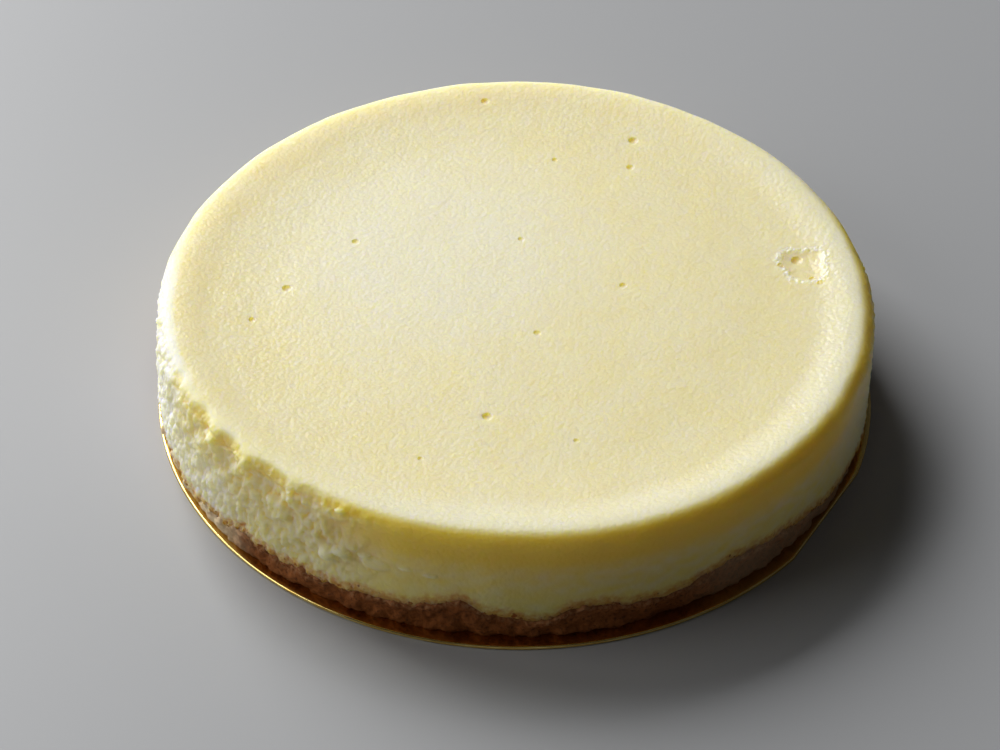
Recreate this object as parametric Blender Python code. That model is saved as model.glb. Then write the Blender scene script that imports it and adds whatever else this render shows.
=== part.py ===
"""A round set cheesecake on a pressed crumb base, standing on a thin gold card.

Three closed solids, stacked: the gold card, the crumb base and the cheese filling. The filling has
a dished top with a rolled rim, burst bubbles and one larger crater, and a torn patch where the
cake ring pulled its side away. Metres, +Z up. The origin is the middle of the card's underside,
and the front is at -Y. Bearings are in degrees, anticlockwise from +X.
"""

import math

import bpy
from mathutils import Vector, noise
from mathutils.geometry import delaunay_2d_cdt

# The gold card: a thin round with one straight cut in its edge.
CARD_RADIUS = 0.0910
CARD_THICKNESS = 0.0010
CARD_EDGE_ROUND = 0.0004
CARD_CUT = (-41.0, -19.0)  # bearings of the cut's two corners
CARD_SEGMENTS = 120

# How the cake stands on the card: a little off its middle.
SEAT_GAP = 0.0003  # between each layer and the next
CAKE_MIDDLE = Vector((-0.0004, 0.0006, 0.0))
CAKE_SEGMENTS = 200

# The wall in plan: nearly round, a little wider along X, with a flatter side and a slight bulge.
CAKE_RADIUS = 0.0897
CAKE_OVAL = 0.0007
FLAT_SIDE = 138.0
FLAT = 0.0013
BULGE_SIDE = -160.0
BULGE = 0.0004

# The crumb base.
BASE_FOOT = CARD_THICKNESS + SEAT_GAP
BASE_HEAD = 0.0085  # height of its upper face in the middle
BASE_TALL = 0.0090  # its side leans out to the wall over this height
BASE_INSET = 0.0002  # how far its foot lies inside the wall
BASE_EXTRA_INSET = 0.0009  # and as much more at +X
BASE_LEAST = 0.0012  # it is nowhere thinner than this
BASE_EDGE = (  # bearing, height of the upper edge
    (-165.0, 0.0028),
    (-150.0, 0.0034),
    (-142.0, 0.0056),
    (-136.0, 0.0078),
    (-120.0, 0.0078),
    (-107.0, 0.0088),
    (-98.0, 0.0123),
    (-93.0, 0.0092),
    (-86.0, 0.0069),
    (-78.0, 0.0106),
    (-70.0, 0.0086),
    (-62.0, 0.0092),
    (-53.0, 0.0121),
    (-45.0, 0.0104),
    (-30.0, 0.0070),
    (-18.0, 0.0048),
    (-8.0, 0.0036),
    (12.0, 0.0050),
    (60.0, 0.0080),
    (120.0, 0.0075),
    (165.0, 0.0058),
)
BASE_CRAGS = 0.0015  # crumbs that stand up into the filling
BASE_RELIEF = 0.0010  # crumbs that stand out of its side
BASE_LUMPS = 0.0044  # size of those crumbs
BASE_ROWS = 6
INTERFACE_RADII = (0.0858, 0.0750, 0.0460)  # rings that carry the hidden face above the base

# The filling.
CAKE_TOP = 0.0322  # height of the rim's crest
RIM_ROUND = 0.0044  # radius of the rolled rim
SETBACKS = (  # where the wall leans in towards its top: bearing, half width, fading, amount
    (-106.0, 8.0, 34.0, 0.0019),
    (-55.0, 10.0, 22.0, 0.0006),
)
DISH_RIM = (0.0012, 0.0110)  # depth below the crest, width of the slope inside it
DISH_REST = (0.0008, 0.0260)
DISH_SIDE = -50.0  # the rim's inner slope is deepest on this side
DISH_LEAN = 0.35  # and differs by this much from side to side
TOP_SPACING = 0.0053
RIM_ROWS = 8
WALL_ROWS = 6
WALL_RELIEF = 0.0003
WALL_LUMPS = 0.0090

# The torn patch of the side, and the scoops out of the rim above it.
TEAR_SIDE = -148.0
TEAR_HALF_WIDTH = 34.0
TEAR_FADE = 16.0
TEAR_DEPTH = 0.0009
TEAR_LUMPS = 0.0042  # size of its lumps
BITE_PATH = 0.0030  # distance of a scoop's middle from the crest
BITE_ABOVE = 0.0028
BITE_BELOW = 0.0080
RIM_BITES = (  # bearing, half width, depth
    (-158.5, 0.0030, 0.0008),
    (-149.0, 0.0052, 0.0016),
    (-141.0, 0.0056, 0.0018),
    (-131.8, 0.0074, 0.0015),
    (-123.5, 0.0040, 0.0006),
)

# Burst bubbles in the top: bearing, distance from the middle, width.
BUBBLES = (
    (96.5, 0.0780, 0.0022),
    (64.1, 0.0698, 0.0026),
    (60.4, 0.0599, 0.0021),
    (79.7, 0.0554, 0.0016),
    (86.5, 0.0225, 0.0016),
    (11.5, 0.0278, 0.0020),
    (-66.2, 0.0141, 0.0019),
    (-98.1, 0.0436, 0.0026),
    (178.0, 0.0573, 0.0024),
    (-171.2, 0.0659, 0.0018),
    (153.5, 0.0456, 0.0020),
    (-73.2, 0.0532, 0.0014),
    (-110.6, 0.0622, 0.0014),
)
BUBBLE_DEPTH = 0.26  # share of the width
BUBBLE_SEGMENTS = 8

# The crater: a wide shallow burst, squarish with one corner cut, and the holes in and by it.
CRATER_BEARING = 10.7
CRATER_DISTANCE = 0.0741
CRATER_RADIUS = 0.0064
CRATER_DEPTH = 0.0005
CRATER_SQUARE = 0.12  # share of the radius
CRATER_CUT = 0.28
CRATER_CUT_SIDE = -135.0
CRATER_UNEVEN = 0.06
CRATER_SEGMENTS = 24
CRATER_HOLES = (  # across X and Y from the crater's middle, radius, depth
    (-0.0014, 0.0025, 0.0015, 0.0006),
    (0.0021, -0.0045, 0.0007, 0.0004),
    (0.0040, -0.0066, 0.0008, 0.0004),
    (-0.0056, 0.0002, 0.0009, 0.0003),
)

COLOURS = {  # base colour, roughness, metallic
    "gold_card": ((0.83, 0.60, 0.20), 0.22, 1.0),
    "crumb_base": ((0.21, 0.095, 0.05), 0.85, 0.0),
    "cheese_filling": ((0.87, 0.79, 0.50), 0.45, 0.0),
}


def around(bearing, radius, height=0.0):
    """The point at this bearing and radius from the middle."""
    angle = math.radians(bearing)
    return Vector((radius * math.cos(angle), radius * math.sin(angle), height))


def ring_noise(bearing, lobes, layer):
    """Smooth noise from about -1 to 1 that closes on itself; lobes is how finely it varies."""
    return 1.6 * noise.noise(around(bearing, lobes, layer))


def fade(value, edge, width):
    """0 below edge, 1 above edge + width, and smooth between."""
    share = min(1.0, max(0.0, (value - edge) / width))
    return share * share * (3.0 - 2.0 * share)


def bearing_of(point):
    return math.degrees(math.atan2(point.y, point.x))


def turn_between(a, b):
    """The angle from a to b, in degrees from -180 to 180."""
    return (b - a + 180.0) % 360.0 - 180.0


def bearings(count):
    return [360.0 * step / count for step in range(count)]


def near(bearing, middle, half_width, fading):
    """1 within half_width degrees of a bearing, fading to 0 beyond it."""
    return 1.0 - fade(abs(turn_between(middle, bearing)), half_width, fading)


# ---- the plan of the side ----


def plan_radius(bearing):
    oval = CAKE_OVAL * math.cos(math.radians(2.0 * bearing))
    return CAKE_RADIUS + oval - FLAT * near(bearing, FLAT_SIDE, 14.0, 45.0)


def wall_radius(bearing):
    """Radius of the wall at its foot."""
    return plan_radius(bearing) + BULGE * near(bearing, BULGE_SIDE, 14.0, 30.0)


def crest_radius(bearing):
    """Radius of the rim's highest line."""
    setback = sum(most * near(bearing, side, half, span) for side, half, span, most in SETBACKS)
    return plan_radius(bearing) - RIM_ROUND - setback


# ---- the boundary between base and filling ----


def boundary_height(bearing):
    """Height of the base's upper edge at the side, crumbs included."""
    for (left, low), (right, high) in zip(BASE_EDGE, BASE_EDGE[1:] + BASE_EDGE[:1]):
        span = (right - left) % 360.0
        past = (bearing - left) % 360.0
        if past < span:
            height = low + (high - low) * fade(past, 0.0, span)
            break
    crags = ring_noise(bearing, 15.0, 9.1) + 0.6 * ring_noise(bearing, 31.0, 2.7)
    return max(height + 0.5 * BASE_CRAGS * crags, BASE_FOOT + BASE_LEAST)


def interface_height(point):
    """Height of the base's upper face: level in the middle, and as high as its edge near it."""
    span = INTERFACE_RADII[0] - INTERFACE_RADII[1]
    share = min(1.0, max(0.0, (point.xy.length - INTERFACE_RADII[1]) / span))
    return BASE_HEAD + share * (boundary_height(bearing_of(point)) - BASE_HEAD)


def base_side_radius(bearing, height):
    """Radius of the base's side, with the crumbs that stand out of it."""
    inset = BASE_INSET + BASE_EXTRA_INSET * (0.5 + 0.5 * math.cos(math.radians(bearing))) ** 2
    share = min(1.0, (height - BASE_FOOT) / BASE_TALL)
    plain = wall_radius(bearing) - inset * (1.0 - share)
    return plain + BASE_RELIEF * (noise.noise(around(bearing, plain, height) / BASE_LUMPS) - 0.2)


# ---- the filling's rim, side and top ----


RIM_ARC = 0.5 * math.pi * RIM_ROUND
SHOULDER = CAKE_TOP - RIM_ROUND
SIDE_LENGTH = RIM_ARC + SHOULDER - BASE_HEAD


def side_station(bearing, path):
    """(radius, height, outward normal) at a distance along the outline from the rim's crest."""
    crest = crest_radius(bearing)
    if path < RIM_ARC:
        lean = path / RIM_ROUND
        out = Vector((math.sin(lean), math.cos(lean)))
        return crest + RIM_ROUND * out.x, SHOULDER + RIM_ROUND * out.y, out
    drop = path - RIM_ARC
    share = min(1.0, drop / (SHOULDER - BASE_HEAD))
    shoulder = crest + RIM_ROUND
    radius = shoulder + share * (wall_radius(bearing) - shoulder)
    return radius, SHOULDER - drop, Vector((1.0, 0.0))


def torn_share(bearing):
    """1 in the torn patch and 0 away from it."""
    return near(bearing, TEAR_SIDE, TEAR_HALF_WIDTH - 0.5 * TEAR_FADE, TEAR_FADE)


def bite_depth(bearing, path):
    """How much of the rim is gone, measured along its normal: rounded scoops."""
    reach = BITE_ABOVE if path < BITE_PATH else BITE_BELOW
    down = (path - BITE_PATH) / reach
    depth = 0.0
    for middle, half_width, most in RIM_BITES:
        off = math.radians(turn_between(middle, bearing)) * CAKE_RADIUS / half_width
        left = max(0.0, 1.0 - off * off - down * down)
        depth = max(depth, most * left**0.75)
    return depth


def side_loss(bearing, path):
    """How far the side lies inside its plain outline: tears, bites and small unevenness."""
    radius, height, _ = side_station(bearing, path)
    point = around(bearing, radius, height)
    lumps = 0.55 + noise.noise(point / TEAR_LUMPS) + 0.4 * noise.noise(point / (0.5 * TEAR_LUMPS))
    torn = TEAR_DEPTH * torn_share(bearing) * max(0.0, lumps) * fade(path, 0.001, 0.004)
    torn *= 1.0 - 0.6 * fade(path, SIDE_LENGTH - 0.008, 0.006)
    uneven = WALL_RELIEF * (1.0 + noise.noise(point / WALL_LUMPS)) * fade(path, 0.0, RIM_ROUND)
    return torn + uneven + bite_depth(bearing, path)


def filling_side_point(bearing, path):
    radius, height, out = side_station(bearing, path)
    loss = side_loss(bearing, path)
    return around(bearing, radius - loss * out.x, height - loss * out.y)


def dent(distance, radius, depth):
    """Depth of a round dent with steep walls, at a distance from its middle."""
    share = distance / radius
    return depth * (1.0 - share**4) if share < 1.0 else 0.0


def crater_rim(bearing):
    """The crater's radius, by the bearing from its own middle."""
    square = -CRATER_SQUARE * math.cos(math.radians(4.0 * bearing))
    cut = -CRATER_CUT * near(bearing, CRATER_CUT_SIDE, 8.0, 42.0)
    return CRATER_RADIUS * (1.0 + square + cut + CRATER_UNEVEN * ring_noise(bearing, 1.6, 6.0))


def crater_middle():
    return around(CRATER_BEARING, CRATER_DISTANCE)


def crater_holes():
    """(middle, radius, depth) of each hole in and by the crater."""
    return [(crater_middle() + Vector((x, y, 0.0)), r, d) for x, y, r, d in CRATER_HOLES]


def dish_depth(point, inside):
    """How far the dish lies below the crest here, at this distance inside the crest."""
    lean = DISH_LEAN * point.xy.dot(around(DISH_SIDE, 1.0).xy) / CAKE_RADIUS
    rim = DISH_RIM[0] * (1.0 - DISH_LEAN + lean) * fade(inside, 0.0, DISH_RIM[1])
    return rim + DISH_REST[0] * fade(inside, 0.0, DISH_REST[1])


def top_height(point):
    """Height of the filling's top: the dish, less the bubbles and the crater."""
    inside = crest_radius(bearing_of(point)) - point.xy.length
    height = CAKE_TOP - dish_depth(point, inside)
    for bearing, distance, width in BUBBLES:
        away = (point - around(bearing, distance)).xy.length
        height -= dent(away, 0.5 * width, BUBBLE_DEPTH * width)
    off = (point - crater_middle()).xy
    height -= dent(off.length, crater_rim(bearing_of(off)), CRATER_DEPTH)
    for middle, radius, depth in crater_holes():
        height -= dent((point - middle).xy.length, radius, depth)
    return height


# ---- points spread over the flat-lying faces ----


def hex_grid(radius, spacing):
    """Points of a triangular grid inside a circle."""
    points = []
    rows = int(radius / (spacing * math.sqrt(0.75)))
    for row in range(-rows, rows + 1):
        y = row * spacing * math.sqrt(0.75)
        half = math.sqrt(radius**2 - y**2)
        columns = int(half / spacing)
        shift = 0.5 * spacing * (row % 2)
        for column in range(-columns, columns + 1):
            x = column * spacing + shift
            if math.hypot(x, y) < radius:
                points.append(Vector((x, y, 0.0)))
    return points


def dent_rings(middle, radius_at, shares, segments):
    """Rings of points that carry a dent's shape, and its middle."""
    rings = [middle.copy()]
    for share in shares:
        for bearing in bearings(segments):
            rings.append(middle + around(bearing, share * radius_at(bearing)))
    return rings


def top_points():
    """Points inside the crest: a grid, a ring on the dish's slope, and the dents' own rings."""
    dents = []
    taken = []
    for bearing, distance, width in BUBBLES:
        middle = around(bearing, distance)
        dents += dent_rings(middle, lambda _, r=0.5 * width: r, (0.7, 1.0), BUBBLE_SEGMENTS)
        taken.append((middle, 0.5 * width))
    taken.append((crater_middle(), 1.15 * CRATER_RADIUS))
    rim = dent_rings(crater_middle(), crater_rim, (0.8, 1.0), CRATER_SEGMENTS)
    for middle, radius, _ in crater_holes():
        dents += dent_rings(middle, lambda _, r=radius: r, (0.75, 1.05), BUBBLE_SEGMENTS)
        rim = [p for p in rim if (p - middle).length > 1.5 * radius]
    grid = hex_grid(CAKE_RADIUS, TOP_SPACING)
    grid = [p for p in grid if p.length < crest_radius(bearing_of(p)) - 0.7 * TOP_SPACING]
    margin = 0.25 * TOP_SPACING
    grid = [p for p in grid if all((p - m).length > r + margin for m, r in taken)]
    return dents + rim + grid


def interface_points():
    """Points that carry the hidden face between base and filling."""
    points = [Vector((0.0, 0.0, 0.0))]
    for radius, share in zip(INTERFACE_RADII, (1, 2, 6)):
        points += [around(bearing, radius) for bearing in bearings(CAKE_SEGMENTS // share)]
    return points


# ---- closed solids ----


def filled_face(outline, inner):
    """Triangles over an outline and the points inside it, as indices into outline + inner."""
    points = [p.xy for p in outline + inner]
    edge = [list(range(len(outline)))]
    found = delaunay_2d_cdt(points, [], edge, 1, 1e-9)
    source = [indices[0] for indices in found[3]]
    return [[source[corner] for corner in face] for face in found[2]]


def band(lower, upper, count):
    """Quads between two closed rings of vertices that start at these indices."""
    faces = []
    for step in range(count):
        following = (step + 1) % count
        faces.append([lower + step, lower + following, upper + following, upper + step])
    return faces


def closed_solid(name, rings, bottom_inner, top_inner):
    """A solid from a stack of rings, lowest first, closed by a bottom and a top face."""
    count = len(rings[0])
    verts = [p for ring in rings for p in ring] + bottom_inner + top_inner
    faces = []
    for row in range(len(rings) - 1):
        faces += band(row * count, (row + 1) * count, count)
    last_ring = (len(rings) - 1) * count
    inner_start = len(rings) * count

    def place(corner, ring_start, start):
        return ring_start + corner if corner < count else start + corner - count

    for face in filled_face(rings[0], bottom_inner):
        faces.append([place(c, 0, inner_start) for c in reversed(face)])
    top_start = inner_start + len(bottom_inner)
    for face in filled_face(rings[-1], top_inner):
        faces.append([place(c, last_ring, top_start) for c in face])
    mesh = bpy.data.meshes.new(name)
    mesh.from_pydata([p + CAKE_MIDDLE for p in verts], [], faces)
    mesh.shade_smooth()
    mesh.set_sharp_from_angle(angle=math.radians(40.0))
    piece = bpy.data.objects.new(name, mesh)
    bpy.context.scene.collection.objects.link(piece)
    return piece


def card_radius(bearing):
    """The card's radius: round, less the straight cut between the two corners."""
    half = 0.5 * (CARD_CUT[1] - CARD_CUT[0])
    off = abs(turn_between(CARD_CUT[0] + half, bearing))
    if off >= half:
        return CARD_RADIUS
    return CARD_RADIUS * math.cos(math.radians(half)) / math.cos(math.radians(off))


def make_card():
    steps = sorted(set(bearings(CARD_SEGMENTS)) | {corner % 360.0 for corner in CARD_CUT})
    heights_and_insets = (
        (0.0, CARD_EDGE_ROUND),
        (CARD_EDGE_ROUND, 0.0),
        (CARD_THICKNESS - CARD_EDGE_ROUND, 0.0),
        (CARD_THICKNESS - 0.3 * CARD_EDGE_ROUND, 0.3 * CARD_EDGE_ROUND),
        (CARD_THICKNESS, CARD_EDGE_ROUND),
    )
    rings = []
    for height, inset in heights_and_insets:
        rings.append([around(b, card_radius(b) - inset, height) - CAKE_MIDDLE for b in steps])
    return closed_solid("gold_card", rings, [], [])


def make_base():
    steps = bearings(CAKE_SEGMENTS)
    rings = []
    for row in range(BASE_ROWS + 1):
        share = row / BASE_ROWS
        ring = []
        for bearing in steps:
            height = BASE_FOOT + share * (boundary_height(bearing) - BASE_FOOT)
            ring.append(around(bearing, base_side_radius(bearing, height), height))
        rings.append(ring)
    inner = interface_points()
    for point in inner:
        point.z = interface_height(point)
    return closed_solid("crumb_base", rings, [], inner)


def make_filling():
    steps = bearings(CAKE_SEGMENTS)
    rings = []
    for row in range(WALL_ROWS):
        ring = []
        for bearing in steps:
            whole = SHOULDER - boundary_height(bearing) - SEAT_GAP
            path = RIM_ARC + whole * (1.0 - row / WALL_ROWS)
            ring.append(filling_side_point(bearing, path))
        rings.append(ring)
    for row in range(RIM_ROWS + 1):
        path = RIM_ARC * (1.0 - row / RIM_ROWS)
        rings.append([filling_side_point(bearing, path) for bearing in steps])
    underside = interface_points()
    for point in underside:
        point.z = interface_height(point) + SEAT_GAP
    top = top_points()
    for point in top:
        point.z = top_height(point)
    return closed_solid("cheese_filling", rings, underside, top)


def material(name):
    colour, roughness, metallic = COLOURS[name]
    made = bpy.data.materials.new(name)
    made.use_nodes = True
    shader = made.node_tree.nodes["Principled BSDF"]
    shader.inputs["Base Color"].default_value = (*colour, 1.0)
    shader.inputs["Roughness"].default_value = roughness
    shader.inputs["Metallic"].default_value = metallic
    return made


def main():
    for old in list(bpy.data.objects):
        bpy.data.objects.remove(old)
    for piece in (make_card(), make_base(), make_filling()):
        piece.data.materials.append(material(piece.name))


main()
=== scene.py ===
"""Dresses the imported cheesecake: filling, crumb base and gold card at full detail, and the studio.

Metres, +Z up, front at -Y. Bearings are in degrees, anticlockwise from +X, round the cake's middle.
"""

import math

import bpy
import numpy as np
from mathutils import Matrix, Vector, noise
from mathutils.geometry import delaunay_2d_cdt


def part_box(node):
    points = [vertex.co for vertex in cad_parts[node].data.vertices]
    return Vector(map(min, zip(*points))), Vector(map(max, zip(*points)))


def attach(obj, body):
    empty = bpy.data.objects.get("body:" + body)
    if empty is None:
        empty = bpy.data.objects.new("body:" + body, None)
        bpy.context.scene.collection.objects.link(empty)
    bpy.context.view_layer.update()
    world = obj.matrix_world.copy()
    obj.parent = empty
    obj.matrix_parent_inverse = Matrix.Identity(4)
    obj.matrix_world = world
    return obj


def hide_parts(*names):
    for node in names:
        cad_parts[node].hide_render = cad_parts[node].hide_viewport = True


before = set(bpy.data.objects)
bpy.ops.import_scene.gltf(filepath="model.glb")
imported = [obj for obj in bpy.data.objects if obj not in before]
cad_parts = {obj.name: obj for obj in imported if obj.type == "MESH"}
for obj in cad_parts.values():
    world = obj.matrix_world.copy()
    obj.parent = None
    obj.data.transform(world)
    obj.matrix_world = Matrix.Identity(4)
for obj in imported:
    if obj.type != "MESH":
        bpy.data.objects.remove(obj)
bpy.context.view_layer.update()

# ---- form shared with the solids ----

# The gold card: a thin round with one straight cut in its edge.
CARD_LOW, CARD_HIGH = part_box("gold_card")
CARD_RADIUS = CARD_HIGH.y
CARD_THICKNESS = CARD_HIGH.z - CARD_LOW.z
CARD_EDGE_ROUND = 0.0004
CARD_CUT = (-41.0, -19.0)  # bearings of the cut's two corners

# How the cake stands on the card: a little off its middle.
SEAT_GAP = 0.0003  # between each layer and the next
CAKE_MIDDLE = Vector((-0.0004, 0.0006, 0.0))

# The wall in plan: nearly round, a little wider along X, with a flatter side and a slight bulge.
CAKE_RADIUS = 0.0897
CAKE_OVAL = 0.0007
FLAT_SIDE = 138.0
FLAT = 0.0013
BULGE_SIDE = -160.0
BULGE = 0.0004

# The crumb base.
BASE_FOOT = CARD_THICKNESS + SEAT_GAP
BASE_HEAD = 0.0085  # height of its upper face in the middle
BASE_TALL = 0.0090  # its side leans out to the wall over this height
BASE_INSET = 0.0002  # how far its foot lies inside the wall
BASE_EXTRA_INSET = 0.0009  # and as much more at +X
BASE_LEAST = 0.0012  # it is nowhere thinner than this
BASE_EDGE = (  # bearing, height of the upper edge
    (-165.0, 0.0028),
    (-150.0, 0.0034),
    (-142.0, 0.0056),
    (-136.0, 0.0078),
    (-120.0, 0.0078),
    (-107.0, 0.0088),
    (-98.0, 0.0123),
    (-93.0, 0.0092),
    (-86.0, 0.0069),
    (-78.0, 0.0106),
    (-70.0, 0.0086),
    (-62.0, 0.0092),
    (-53.0, 0.0121),
    (-45.0, 0.0104),
    (-30.0, 0.0070),
    (-18.0, 0.0048),
    (-8.0, 0.0036),
    (12.0, 0.0050),
    (60.0, 0.0080),
    (120.0, 0.0075),
    (165.0, 0.0058),
)
BASE_CRAGS = 0.0015  # crumbs that stand up into the filling
BASE_RELIEF = 0.0010  # crumbs that stand out of its side
BASE_LUMPS = 0.0044  # size of those crumbs

# The filling.
CAKE_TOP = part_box("cheese_filling")[1].z  # height of the rim's crest
RIM_ROUND = 0.0044  # radius of the rolled rim
SETBACKS = (  # where the wall leans in towards its top: bearing, half width, fading, amount
    (-106.0, 8.0, 34.0, 0.0019),
    (-55.0, 10.0, 22.0, 0.0006),
)
DISH_RIM = (0.0012, 0.0110)  # depth below the crest, width of the slope inside it
DISH_REST = (0.0008, 0.0260)
DISH_SIDE = -50.0  # the rim's inner slope is deepest on this side
DISH_LEAN = 0.35  # and differs by this much from side to side
WALL_RELIEF = 0.0003
WALL_LUMPS = 0.0090

# The torn patch of the side, and the scoops out of the rim above it.
TEAR_SIDE = -148.0
TEAR_HALF_WIDTH = 34.0
TEAR_FADE = 16.0
TEAR_DEPTH = 0.0009
TEAR_LUMPS = 0.0042  # size of its lumps
BITE_PATH = 0.0030  # distance of a scoop's middle from the crest
BITE_ABOVE = 0.0028
BITE_BELOW = 0.0080
RIM_BITES = (  # bearing, half width, depth
    (-158.5, 0.0030, 0.0008),
    (-149.0, 0.0052, 0.0016),
    (-141.0, 0.0056, 0.0018),
    (-131.8, 0.0074, 0.0015),
    (-123.5, 0.0040, 0.0006),
)

# Burst bubbles in the top: bearing, distance from the middle, width.
BUBBLES = (
    (96.5, 0.0780, 0.0022),
    (64.1, 0.0698, 0.0026),
    (60.4, 0.0599, 0.0021),
    (79.7, 0.0554, 0.0016),
    (86.5, 0.0225, 0.0016),
    (11.5, 0.0278, 0.0020),
    (-66.2, 0.0141, 0.0019),
    (-98.1, 0.0436, 0.0026),
    (178.0, 0.0573, 0.0024),
    (-171.2, 0.0659, 0.0018),
    (153.5, 0.0456, 0.0020),
    (-73.2, 0.0532, 0.0014),
    (-110.6, 0.0622, 0.0014),
)
BUBBLE_DEPTH = 0.26  # share of the width

# The crater: a wide shallow burst, squarish with one corner cut, and the holes in and by it.
CRATER_BEARING = 10.7
CRATER_DISTANCE = 0.0741
CRATER_RADIUS = 0.0064
CRATER_DEPTH = 0.0005
CRATER_SQUARE = 0.12  # share of the radius
CRATER_CUT = 0.28
CRATER_CUT_SIDE = -135.0
CRATER_UNEVEN = 0.06
CRATER_HOLES = (  # across X and Y from the crater's middle, radius, depth
    (-0.0014, 0.0025, 0.0015, 0.0006),
    (0.0021, -0.0045, 0.0007, 0.0004),
    (0.0040, -0.0066, 0.0008, 0.0004),
    (-0.0056, 0.0002, 0.0009, 0.0003),
)

# ---- detail that only this model has ----

# How finely each piece is divided.
FINE_STEP = 0.24  # degrees between the filling's columns in the stretches with grain
PLAIN_STEP = 0.66  # degrees between its columns elsewhere
FINE_STRETCHES = ((-143.0, 43.0), (-3.0, 18.0))  # bearing, half width
SIDE_ROWS = 58
BASE_COLUMNS = 1100
BASE_ROWS = 30
CARD_COLUMNS = 480
CARD_EDGE_STEP = 15  # degrees between the points of the card's rounded edge
CARD_RINGS = (0.0012, 0.0022, 0.0034, 0.0060)  # how far inside its edge its upper face has rings
TOP_SPACING = 0.00084
CRATER_SPACING = 0.00024
CRATER_PATCH = 0.0092  # radius of the finer patch at the crater
PATCH_MARGIN = 0.0002  # its points stay this far inside that
BUBBLE_RINGS = (0.35, 0.6, 0.78, 0.9, 1.0, 1.15)  # shares of a bubble's radius
BUBBLE_SEGMENTS = 20
BUBBLE_CLEAR = 0.6  # no point of the grid is nearer to its middle than this share of its width
HOLE_RINGS = (0.3, 0.6, 0.8, 0.92, 1.0, 1.12)
HOLE_SEGMENTS = 24
HOLE_CLEAR = 1.2  # nor nearer to a hole's middle than this share of its radius
RIM_CLEAR = 0.8  # nor nearer to the crest than this share of the grid's spacing

# Where filling and base meet: each runs on past the boundary, and draws in there.
LAP = 0.0016  # how far each runs past it
FILLING_TUCK = 0.0012  # how far the filling draws in
BASE_TUCK = 0.0020
BASE_TUCK_START = 0.0008  # below the boundary
BASE_FOOT_TUCK = 0.0005  # how far the base draws in at the card
BASE_FOOT_TALL = 0.0012
CRAGS = ((0.0007, 70.0, 4.4), (0.0005, 150.0, 8.2))  # single crumbs: height, how finely set, layer

# Fine relief, made of domes on a random scatter.
DOME_FALL = 1.7
CRUMB_SIZES = (0.0021, 0.0010)
CRUMB_HEIGHT = 0.00050
SMALL_CRUMBS = 0.6  # height of the small ones, as a share of the large ones'
CRUMB_SINK = 0.9  # this share of their height lies below the plain side
SMALL_CRUMBS_SHIFT = Vector((0.3, 0.0, 0.0))  # so that the small ones don't follow the large
GRAIN_SIZES = (0.0020, 0.0011)  # grains of the torn side
GRAIN_SHARES = (0.62, 0.38)
SMALL_GRAINS_SHIFT = Vector((0.0, 0.5, 0.0))
GRAIN_DEPTH = 0.0011  # from the top of a grain to the bottom of a pit
GRAIN_PROUD = 0.0005  # how far grains stand out of the plain side
WAVE_SIZE = 0.0045  # faint waves of the whole side
WAVE_SQUEEZE = 2.2  # how much longer than tall they are
WAVE_HEIGHT = 0.00008
SWAY_SIZES = (0.016, 0.006)  # faint waves of the top, large and small
SMALL_SWAY = 0.5  # height of the small ones, as a share of the large ones'
SWAY_HEIGHT = 0.00005
SWAY_MARGIN = 0.004  # they fade in over this distance from the crest

# The crater's froth, and its floor.
FROTH_RING = 1.03  # its middle line, as a share of the crater's radius
FROTH_HALF_WIDTH = 0.0003
FROTH_FADE = 0.0009
FROTH_RAGGED = (0.0010, 0.0012)  # how far it wanders from that line, how finely
FROTH_HEIGHT = 0.00030
FROTH_BUBBLE = 0.0007
FROTH_SINK = 0.3  # this share of a bubble lies below the plain top
RIPPLE_SIZE = 0.0015
RIPPLE_HEIGHT = 0.00006

# Smears of cream on the side.
SMEARS = (  # bearing, height, half length, half height, lift, how pale
    (-119.3, 0.0173, 0.0025, 0.0018, 0.0018, 0.30),
    (-117.0, 0.0190, 0.0028, 0.0012, 0.0013, 0.25),
    (-115.2, 0.0212, 0.0018, 0.0008, 0.0004, 0.15),
    (-113.0, 0.0199, 0.0022, 0.0006, 0.0004, 0.25),
    (-111.3, 0.0185, 0.0042, 0.0018, 0.0002, 0.20),
    (-117.8, 0.0305, 0.0016, 0.0006, 0.0005, 0.30),
    (-121.7, 0.0212, 0.0012, 0.0009, 0.0006, 0.10),
    (-106.3, 0.0195, 0.0018, 0.0006, 0.0003, 0.20),
    (-102.4, 0.0190, 0.0020, 0.0006, 0.0003, 0.25),
    (-128.0, 0.0215, 0.0018, 0.0009, 0.0005, 0.10),
)
SMEAR_EDGE = 2.5  # how sharply its paleness ends
SMEAR_COVER = 3.6  # how soon it covers the relief below it

# Stretches of the side: bearing, half width, fading.
PAINTED_GLOW = (-70.0, 36.0, 24.0)  # painted glow: the smooth side in shade, painted gold like the light that passes through the cream from the lit top
RIM_SHADE_BAND = (-50.0, 66.0, 14.0)  # painted shade: a gold band just below the rim, longer than that
ROUGH = (-3.0, 12.0, 8.0)  # the side is a little rough here
RIM_SHEEN = (-40.0, 60.0, 50.0)  # painted sheen: the rim is painted paler here, where its inner slope faces the key lamp
LIT_LEFT = (-172.0, 8.0, 14.0)  # painted light: the side is painted palest, where the lamp from the left falls full on it
CREAM_AND_LIGHT_SIDE = (-157.0, 12.0, 12.0)  # the base's side is smeared with cream, and painted lighter where the lamp from the left falls on it; the filling's side above is painted paler there too, a painted light
CRUMB_SHEEN = (-38.0, 14.0, 12.0)  # painted sheen: here the crumb in shade is painted a little paler with the cream colour
DARKER_CRUMB_SIDE = (-108.0, 9.0, 10.0)  # the crumb is darker here

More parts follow.
